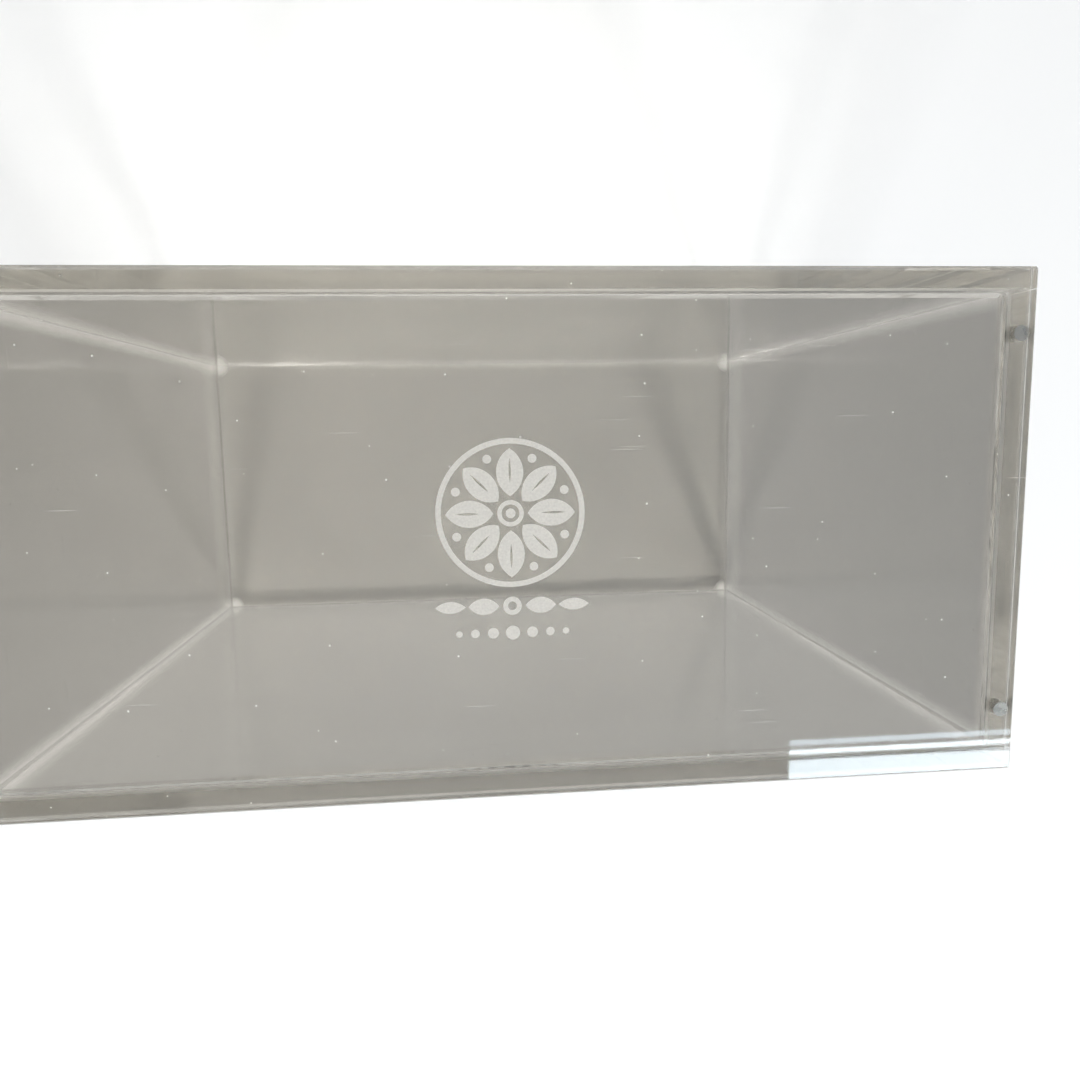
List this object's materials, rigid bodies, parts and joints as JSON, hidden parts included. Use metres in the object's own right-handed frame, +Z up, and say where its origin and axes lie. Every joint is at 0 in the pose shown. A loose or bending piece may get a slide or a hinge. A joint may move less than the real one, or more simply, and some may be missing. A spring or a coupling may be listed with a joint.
{
  "type": "acrylic display case",
  "caption": "Clear rectangular acrylic display case: an open-topped box of welded sheets with a lift-off lid that locates inside the walls and is held down by small corner magnets.",
  "frame": {"origin": "centre of the underside of the base, where the case stands", "axes": "+Z up, +X along the long walls to the right, +Y across the case to the back wall"},
  "size_m": [0.198, 0.097, 0.178],
  "materials": {
    "clear_acrylic": "gloss",
    "nickel_plate": "polished"
  },
  "bodies": {
    "case": {"base_panel": "clear_acrylic", "front_wall": "clear_acrylic", "back_wall": "clear_acrylic", "left_wall": "clear_acrylic", "right_wall": "clear_acrylic", "case_magnet_front_left": "nickel_plate", "case_magnet_front_right": "nickel_plate", "case_magnet_back_left": "nickel_plate", "case_magnet_back_right": "nickel_plate"},
    "lid": {"lid_plate": "clear_acrylic", "lid_locating_plate": "clear_acrylic", "lid_magnet_front_left": "nickel_plate", "lid_magnet_front_right": "nickel_plate", "lid_magnet_back_left": "nickel_plate", "lid_magnet_back_right": "nickel_plate"}
  },
  "joints": [
    {"name": "lid_lift", "type": "slide", "parent": "case", "child": "lid", "axis": [0, 0, 1], "range_m": [0, 0.12]}
  ]
}
